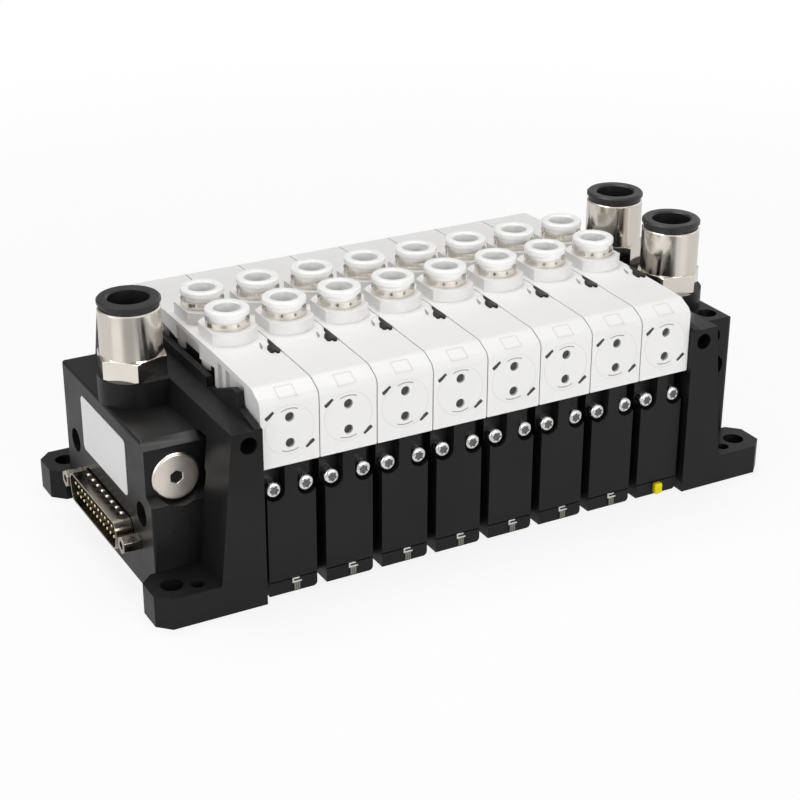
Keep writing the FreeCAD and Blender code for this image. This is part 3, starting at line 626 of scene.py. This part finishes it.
# %% Square frames and the mould circle
FRAME_LONG = 5.6
FRAME_WIDE = 4.4
FRAME_LINE = 0.34
FRAME_THICK = 0.12
BEVEL_RISE = 2.7
BEVEL_RUN = 5.3
BEVEL_MIDDLE_Y = -47.45
BEVEL_MIDDLE_Z = 62.35
BEVEL_SLOPE = math.atan2(BEVEL_RISE, BEVEL_RUN)
frame_work = flat_rectangle(FRAME_LONG, FRAME_WIDE)
inner = frame_work.faces[:]
bmesh.ops.inset_individual(frame_work, faces=inner, thickness=FRAME_LINE * MM)
bmesh.ops.delete(frame_work, geom=inner, context="FACES_ONLY")
raise_faces(frame_work, FRAME_THICK)
frame_mesh = finish_mesh(frame_work, "square_frame")
frame_places = []
for index in STATIONS:
    middle = Vector((station_x(index), BEVEL_MIDDLE_Y, BEVEL_MIDDLE_Z - FRAME_THICK / 2)) * MM
    frame_places.append(Matrix.Translation(middle) @ Matrix.Rotation(BEVEL_SLOPE, 4, "X"))
# The frames are coloured a little darker than the face, as painted shade on their edges.
place_copies(frame_mesh, frame_places, "square_frames", "white_plastic", frame_shade_polyester)

CIRCLE_PLACE = (-90.7, -35.7, 22.5)
CIRCLE_RADIUS = 2.6
CIRCLE_HALF = 0.15
CIRCLE_TOP_HALF = 0.07
CIRCLE_STEPS = 64
circle_mesh = finish_mesh(spin_outline([
    (CIRCLE_RADIUS - CIRCLE_HALF, -LINE_SUNK), (CIRCLE_RADIUS - CIRCLE_TOP_HALF, LINE_HIGH),
    (CIRCLE_RADIUS + CIRCLE_TOP_HALF, LINE_HIGH), (CIRCLE_RADIUS + CIRCLE_HALF, -LINE_SUNK),
], CIRCLE_STEPS), "mould_circle")
place_copies(circle_mesh, [facing_front(*CIRCLE_PLACE)], "mould_circle", "black_plastic")

# %% [markdown]
# ## Small pieces in the notches
# A white snap tab fills the deep end of each notch between the housings. In front of it, a
# little above the white top, a flat black shape is painted shadow for the dark hole of the
# notch, and beside it a narrow grey shape is painted shade for a slot. Boxes could stand
# for them, but their crooked outlines show, so each outline is drawn once as a face and
# extruded. The tab stands upright across the row, and the other two lie flat. The rear
# notches are mirror images.

# %% Extrude an outline
NEXT_AXES = Matrix(((0, 0, 1, 0), (1, 0, 0, 0), (0, 1, 0, 0), (0, 0, 0, 1)))


def extrude_outline(outline_mm, depth_mm, edge_mm=0.0):
    work = bmesh.new()
    work.faces.new([work.verts.new((x * MM, y * MM, 0)) for x, y in outline_mm])
    raise_faces(work, depth_mm)
    if edge_mm:
        bmesh.ops.bevel(
            work, geom=work.edges[:], offset=edge_mm * MM, segments=2, profile=0.5,
            affect="EDGES", material=-1,
        )
    return work


def across_row(x):
    # What was drawn along X, Y and Z comes to lie along Y, Z and X.
    return Matrix.Translation((x * MM, 0, 0)) @ NEXT_AXES


# %% Snap tabs, and painted shade in the notches and slots
TAB_THICK = 2.1
TAB_GAP = 0.2
SHADOW_HEIGHT = 64.1
SHADOW_THICK = 0.9
SLOT_SHADE_THICK = 0.72
tab_mesh = finish_mesh(extrude_outline([
    (-19.75, 56.0), (-16.85, 56.0), (-16.85, 64.72), (-19.75, 64.6),
], TAB_THICK, 0.08), "snap_tab")
# Painted shadow: a flat black shape for the dark hole of the notch.
notch_shadow_mesh = finish_mesh(extrude_outline([
    (8.8, -17.2), (8.0, -18.8), (7.4, -21.2), (6.4, -22.2), (5.6, -23.8), (5.5, -26.2),
    (6.2, -26.7), (6.9, -25.9), (7.2, -27.4), (8.0, -27.2), (8.8, -25.8),
], SHADOW_THICK, 0.1), "notch_painted_shadow")
# Painted shade: a grey shape for the shade in a narrow slot.
slot_shade_mesh = finish_mesh(extrude_outline([
    (5.85, -18.4), (5.4, -19.0), (4.4, -21.5), (4.3, -23.0), (5.3, -21.7),
], SLOT_SHADE_THICK), "slot_painted_shade")
tab_places = []
shadow_places = []
for index in STATIONS:
    tab_places.append(across_row(station_x(index) + PITCH / 2 - TAB_GAP - TAB_THICK))
    shadow_places.append(Matrix.Translation(Vector((station_x(index), 0, SHADOW_HEIGHT)) * MM))
mirror = Matrix.Scale(-1, 4, (0, 1, 0))
tab_places += [mirror @ place for place in tab_places]
shadow_places += [mirror @ place for place in shadow_places]
place_copies(tab_mesh, tab_places, "snap_tabs", "white_plastic")
place_copies(notch_shadow_mesh, shadow_places, "notch_painted_shadows", "black_plastic")
place_copies(slot_shade_mesh, shadow_places, "slot_painted_shades", "white_plastic", recess_shade_polyester)

# %% [markdown]
# ## Painted shade in dark places
# A thin black sheet in the open bay in the side of the first and last housing, and a black
# fill in the hexagon socket of the port plug, are painted shade. Both places could be left
# to shadow, but white and bright surfaces round them throw too much light in, so each gets
# a thin dark piece.

# %% Painted shade in the bays and in the plug's socket
BAY_DEPTH = 2.15
SHEET_GAP = 0.05
SHEET_THICK = 0.15
bay_floor = ROW_HALF - BAY_DEPTH
# Painted shade: a black sheet in the bay, where only shadow lies.
bay_shade_mesh = finish_mesh(extrude_outline([
    (-19.2, 47.5), (19.2, 47.5), (19.2, 58.4), (-19.2, 58.4),
], SHEET_THICK, 0.05), "bay_painted_shade")
bay_shade_places = [across_row(-bay_floor - SHEET_GAP - SHEET_THICK), across_row(bay_floor + SHEET_GAP)]
place_copies(bay_shade_mesh, bay_shade_places, "bay_painted_shades", "black_plastic")

SOCKET_FLATS = 3.3
SOCKET_RADIUS = SOCKET_FLATS / math.sqrt(3)
SOCKET_FOOT = -2.55
SOCKET_TOP = -0.5
SOCKET_TURN = math.radians(30)
# Painted shade: a black fill in the hexagon socket.
socket_shade_mesh = finish_mesh(spin_outline([
    (0, SOCKET_FOOT), (SOCKET_RADIUS, SOCKET_FOOT), (SOCKET_RADIUS, SOCKET_TOP), (0, SOCKET_TOP),
], 6), "socket_painted_shade")
socket_shade_place = facing_front(plug_middle.x, plug_low.y, plug_middle.z, SOCKET_TURN)
place_copies(socket_shade_mesh, [socket_shade_place], "plug_socket_shade", "black_plastic")

# %% [markdown]
# ## Clips at the foot of the bases
# A bent spring clip holds the bottom cover of every station but the last. Its hook is
# a small C with bright plating, and three ribs stiffen its dull leg. Each part of it is
# an extruded outline. They are drawn here with a taller and more open hook than the CAD
# model has, at nearly the same place, and stand for it.

# %% Hooks, legs and ribs of the clips
clip_low, clip_high = node_box("base_latches")
CLIP_SHIFT = 0.9
CLIP_THICK = 0.5
LEG_HALF = 1.0
LEG_HIGH = 2.5
LEG_THICK = 0.4
HOOK_SUNK = 0.05
RIB_HALF = 0.14
RIB_HIGH = 2.3
RIB_THICK = 0.25
RIB_RISE = 0.05
RIB_SPACING = 0.65
hook_mesh = finish_mesh(extrude_outline([
    (-1.5, 0), (1.5, 0), (1.5, 0.5), (-1.0, 0.5), (-1.0, 1.1), (0.8, 1.1), (0.8, 1.55), (-1.5, 1.55),
], CLIP_THICK, 0.08), "clip_hook")
leg_mesh = finish_mesh(extrude_outline([
    (-LEG_HALF, 0), (LEG_HALF, 0), (LEG_HALF, LEG_HIGH), (-LEG_HALF, LEG_HIGH),
], LEG_THICK, 0.06), "clip_leg")
rib_mesh = finish_mesh(extrude_outline([
    (-RIB_HALF, 0), (RIB_HALF, 0), (RIB_HALF, RIB_HIGH), (-RIB_HALF, RIB_HIGH),
], RIB_THICK, 0.05), "clip_rib")
hook_places = []
leg_places = []
rib_places = []
for index in STATIONS[:-1]:
    x = station_x(index) + CLIP_SHIFT
    hook_places.append(facing_front(x, clip_high.y, clip_low.z + LEG_HIGH - HOOK_SUNK))
    leg_places.append(facing_front(x, clip_high.y, clip_low.z))
    for side in (-RIB_SPACING, 0, RIB_SPACING):
        rib_places.append(facing_front(x + side, clip_high.y - RIB_THICK, clip_low.z + RIB_RISE))
hooks = place_copies(hook_mesh, hook_places, "clip_hooks", "screw_steel")
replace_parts(hooks, "base_latches")
place_copies(leg_mesh, leg_places, "clip_legs", "screw_steel", dull_steel_and_star_shade)
place_copies(rib_mesh, rib_places, "clip_ribs", "screw_steel", tin)

# %% [markdown]
# ## The connector's shell
# The shell is drawn from thin sheet, so its wall has small dents that press on the mating
# shell. Dents could be sculpted, but they are even, so a flat grid is wrapped round the D
# shape: one direction of the grid runs round the outline, the other runs out of the block
# on the outside of the wall and back on its inside. Each point near a dent is then pushed
# inwards. First comes the inside of the D, wide side up: four corners, each rounded by an
# arc, with the direction outwards at every point.

# %% The outline of the D
SHELL_WIDE = 38.96
SHELL_LEAN = math.radians(10)
SHELL_ROUND = 2.5
SHELL_WALL = 0.5
SHELL_SPACING = 0.2
CORNER_STEPS = 8
shell_low, shell_high = node_box("connector_shell")
shell_inside = shell_high.z - shell_low.z - 2 * SHELL_WALL


def d_outline():
    high = shell_inside / 2
    wide = SHELL_WIDE / 2
    narrow = wide - shell_inside * math.tan(SHELL_LEAN)
    corners = [
        Vector((-narrow, -high)), Vector((narrow, -high)), Vector((wide, high)), Vector((-wide, high)),
    ]
    points = []
    for index, corner in enumerate(corners):
        before = (corners[index - 1] - corner).normalized()
        after = (corners[(index + 1) % len(corners)] - corner).normalized()
        half = before.angle(after) / 2
        centre = corner + (before + after).normalized() * SHELL_ROUND / math.sin(half)
        first = (corner + before * SHELL_ROUND / math.tan(half) - centre).normalized()
        sweep = math.pi - 2 * half
        for step in range(CORNER_STEPS + 1):
            outward = first.copy()
            outward.rotate(Matrix.Rotation(sweep * step / CORNER_STEPS, 2))
            points.append((centre + outward * SHELL_ROUND, outward))
    path = []
    for index, (point, outward) in enumerate(points):
        next_point, next_outward = points[(index + 1) % len(points)]
        count = max(1, round((next_point - point).length / SHELL_SPACING))
        for step in range(count):
            share = step / count
            path.append((point.lerp(next_point, share), outward.lerp(next_outward, share)))
    return path


path = d_outline()
print("points round the D:", len(path))

# %% [markdown]
# A dent is a smooth round hollow, deepest in its middle. Eight of them stand in a row along
# the upper wall and eight along the lower one, at the same distance from the rim.

# %% The depth of the dents
DENTS = 8
DENT_SPACING = 3.9
DENT_RADIUS = 1.3
DENT_DEPTH = 0.45
DENT_IN = 3.7


def dent_depth(across, along):
    for index in range(DENTS):
        middle = (index - (DENTS - 1) / 2) * DENT_SPACING
        reach = math.hypot(across - middle, along) / DENT_RADIUS
        if reach < 1:
            return DENT_DEPTH * (1 - reach * reach) ** 2
    return 0.0


print("depth at the middle of a dent in mm:", dent_depth(DENT_SPACING / 2, 0))

# %% Wrap a grid round the D
SHELL_ROWS = 34
SHELL_MERGE = 0.001
LONG_WALL_MARGIN = 0.1
SHELL_SHARP_ANGLE = math.radians(40)
shell_middle = (shell_low + shell_high) / 2
shell_length = shell_high.x - shell_low.x
rows = [shell_high.x - shell_length * step / SHELL_ROWS for step in range(SHELL_ROWS + 1)]
walk = [(x, SHELL_WALL) for x in rows] + [(x, 0.0) for x in reversed(rows)]
walk.append(walk[0])
shell_work = bmesh.new()
bmesh.ops.create_grid(shell_work, x_segments=len(path), y_segments=len(walk) - 1, size=0.5)
for vert in shell_work.verts:
    point, outward = path[round((vert.co.x + 0.5) * len(path)) % len(path)]
    x, grow = walk[round((vert.co.y + 0.5) * (len(walk) - 1))]
    sunk = 0.0
    if abs(point.y) > shell_inside / 2 - LONG_WALL_MARGIN:
        sunk = math.copysign(dent_depth(point.x, x - shell_low.x - DENT_IN), point.y)
    spot = point + outward * grow
    vert.co = Vector((x, shell_middle.y + spot.x, shell_middle.z + spot.y - sunk)) * MM
bmesh.ops.remove_doubles(shell_work, verts=shell_work.verts, dist=SHELL_MERGE * MM)
bmesh.ops.recalc_face_normals(shell_work, faces=shell_work.faces)
shell = link(finish_mesh(shell_work, "dented_shell"), "dented_shell", "frame", "connector_tin")
shell.data.shade_smooth()
shell.data.set_sharp_from_angle(angle=SHELL_SHARP_ANGLE)
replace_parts(shell, "connector_shell")
print("dented_shell", len(shell.data.polygons))

# %% [markdown]
# ## Lamps
# Product photos like this one are taken in a white tent, with large soft lamps on the
# left, overhead and in front. A sun or a point lamp would draw hard shadows, so three
# area lamps are used, which give wide, soft highlights along the edges. Their levels keep
# the pale housings just below full white.

# %% Lamps
LAMP_TARGET = Vector((0, 0, 40))
LAMPS = (
    ("left", Vector((-700, -150, 420)), (700, 500), 2.0),
    ("top", Vector((0, 200, 900)), (700, 500), 5.4),
    ("front", Vector((150, -900, 300)), (600, 400), 4.6),
)
for name, spot, size, watts in LAMPS:
    lamp_data = bpy.data.lights.new(name, "AREA")
    lamp_data.shape = "RECTANGLE"
    lamp_data.size = size[0] * MM
    lamp_data.size_y = size[1] * MM
    lamp_data.energy = watts
    lamp = bpy.data.objects.new(name, lamp_data)
    bpy.context.collection.objects.link(lamp)
    aim = ((LAMP_TARGET - spot) * MM).to_track_quat("-Z", "Y")
    lamp.matrix_world = Matrix.Translation(spot * MM) @ aim.to_matrix().to_4x4()
    print("lamp:", name, watts, "W")

# %% [markdown]
# ## The tent
# The background is white because the world and the floor show white to the camera, not
# because more light falls on the island: a strength of 1 is white. What shiny pieces see
# is dimmer. There the side walls and the roof of the tent are bright and the rest is dark,
# which gives the metal its contrast. The light on matt surfaces comes from a weak, even
# glow, besides the lamps.

# %% World
TENT_GLOW = 0.12
SMOOTH = {"interpolation_type": "SMOOTHSTEP"}
LARGER = {"operation": "MAXIMUM"}

world = bpy.data.worlds.new("white_tent")
bpy.context.scene.world = world
world.use_nodes = True
tree = world.node_tree
tree.nodes.clear()
rays = add_node(tree, "ShaderNodeLightPath")
seen_or_mirrored = add_node(
    tree, "ShaderNodeMath", LARGER,
    {0: rays.outputs["Is Camera Ray"], 1: rays.outputs["Is Glossy Ray"]},
)
seen = add_node(
    tree, "ShaderNodeMath", LARGER,
    {0: seen_or_mirrored.outputs[0], 1: rays.outputs["Is Transmission Ray"]},
)
direction = add_node(tree, "ShaderNodeTexCoord").outputs["Generated"]
split = add_node(tree, "ShaderNodeSeparateXYZ", links={0: direction})
sideways = add_node(
    tree, "ShaderNodeMath", {"operation": "ABSOLUTE"}, {0: split.outputs["X"]}
)
walls = add_node(
    tree, "ShaderNodeMapRange",
    {**SMOOTH, "From Min": 0.3, "From Max": 0.8, "To Min": 0.2, "To Max": 0.9},
    {"Value": sideways.outputs[0]},
)
roof = add_node(
    tree, "ShaderNodeMapRange",
    {**SMOOTH, "From Min": 0.5, "From Max": 0.9, "To Min": 0.3, "To Max": 0.9},
    {"Value": split.outputs["Z"]},
)
mirrored = add_node(
    tree, "ShaderNodeMath", LARGER, {0: walls.outputs["Result"], 1: roof.outputs["Result"]}
)
white_level = add_node(
    tree, "ShaderNodeMapRange",
    links={"Value": rays.outputs["Is Camera Ray"], "To Min": mirrored.outputs[0]},
)
glow = add_node(tree, "ShaderNodeBackground", {"Color": linear("f4f4f6"), "Strength": TENT_GLOW})
white = add_node(
    tree, "ShaderNodeBackground", {"Color": (1, 1, 1, 1)}, {"Strength": white_level.outputs["Result"]}
)
both = add_node(
    tree, "ShaderNodeMixShader",
    links={0: seen.outputs[0], 1: glow.outputs[0], 2: white.outputs[0]},
)
add_node(tree, "ShaderNodeOutputWorld", links={"Surface": both.outputs[0]})
print("nodes in the world:", len(tree.nodes))

# %% [markdown]
# ## The floor
# The floor is a sheet of white paper. It shows almost pure white to the camera, but near
# the island a part of its true, lit surface is mixed in, so the soft shadow stays. Turned
# metal that stands upright mirrors the floor round it, so the bands of light and dark on
# the fittings come from there: in mirrors the floor is pale grey, with spots of painted
# reflection, dark ones in front and lighter ones beside them and at the left and right,
# placed to give the fittings their bands. Each spot has a place, the distances between
# which it fades out and the factor in its middle.

# %% A sheet of paper
FLOOR_HALF = 4.0
floor_work = bmesh.new()
bmesh.ops.create_grid(floor_work, x_segments=1, y_segments=1, size=FLOOR_HALF)
floor_mesh = finish_mesh(floor_work, "floor")
floor = bpy.data.objects.new("floor", floor_mesh)
bpy.context.collection.objects.link(floor)
paper, tree, shader, place = start_material("paper_floor_white")
shader.inputs["Base Color"].default_value = linear("f6f6f6")
shader.inputs["Roughness"].default_value = 0.9
shader.inputs["Specular IOR Level"].default_value = 0.1
floor_mesh.materials.append(paper)
print("paper in metres:", 2 * FLOOR_HALF, "square")

# %% What mirrors see of the paper
MIRROR_LEVEL = 0.72
# Painted reflections: the spots only change what mirrors see of the paper.
PAINTED_REFLECTION_SPOTS = (
    (Vector((-25, -215, 0)), 45, 105, 0.17),
    (Vector((-170, -172, 0)), 40, 100, 0.5),
    (Vector((-245, -52, 0)), 40, 70, 1.39),
    (Vector((170, -215, 0)), 30, 90, 1.25),
    (Vector((-62, -112, 0)), 20, 60, 1.35),
)
mirrored = None
for spot, near, far, factor in PAINTED_REFLECTION_SPOTS:
    away = add_node(
        tree, "ShaderNodeVectorMath", {"operation": "DISTANCE", 1: spot * MM}, {0: place}
    )
    shade = add_node(
        tree, "ShaderNodeMapRange",
        {**SMOOTH, "From Min": near * MM, "From Max": far * MM, "To Min": factor, "To Max": 1.0},
        {"Value": away.outputs["Value"]},
    )
    product = {"operation": "MULTIPLY"}
    factors = {1: shade.outputs["Result"]}
    if mirrored:
        factors[0] = mirrored.outputs[0]
    else:
        product[0] = MIRROR_LEVEL
    mirrored = add_node(tree, "ShaderNodeMath", product, factors)
print("spots on the paper:", len(PAINTED_REFLECTION_SPOTS))

# %% What the camera sees of the paper
SHADOW_NEAR = 200
SHADOW_FAR = 600
NEAR_WHITE = 0.86
rays = add_node(tree, "ShaderNodeLightPath")
seen = add_node(
    tree, "ShaderNodeMath", LARGER,
    {0: rays.outputs["Is Camera Ray"], 1: rays.outputs["Is Glossy Ray"]},
)
away = add_node(tree, "ShaderNodeVectorMath", {"operation": "LENGTH"}, {0: place})
whiteness = add_node(
    tree, "ShaderNodeMapRange",
    {
        **SMOOTH, "From Min": SHADOW_NEAR * MM, "From Max": SHADOW_FAR * MM,
        "To Min": NEAR_WHITE, "To Max": 1.0,
    },
    {"Value": away.outputs["Value"]},
)
white_share = add_node(
    tree, "ShaderNodeMath", {"operation": "MULTIPLY"},
    {0: seen.outputs[0], 1: whiteness.outputs["Result"]},
)
white_level = add_node(
    tree, "ShaderNodeMapRange",
    links={"Value": rays.outputs["Is Camera Ray"], "To Min": mirrored.outputs[0]},
)
white = add_node(
    tree, "ShaderNodeEmission", {"Color": (1, 1, 1, 1)}, {"Strength": white_level.outputs["Result"]}
)
blend = add_node(
    tree, "ShaderNodeMixShader",
    links={0: white_share.outputs[0], 1: shader.outputs["BSDF"], 2: white.outputs[0]},
)
output = next(node for node in tree.nodes if node.bl_idname == "ShaderNodeOutputMaterial")
tree.links.new(blend.outputs[0], output.inputs["Surface"])
bpy.context.scene.view_settings.view_transform = "Standard"
print("nodes in the paper:", len(tree.nodes))
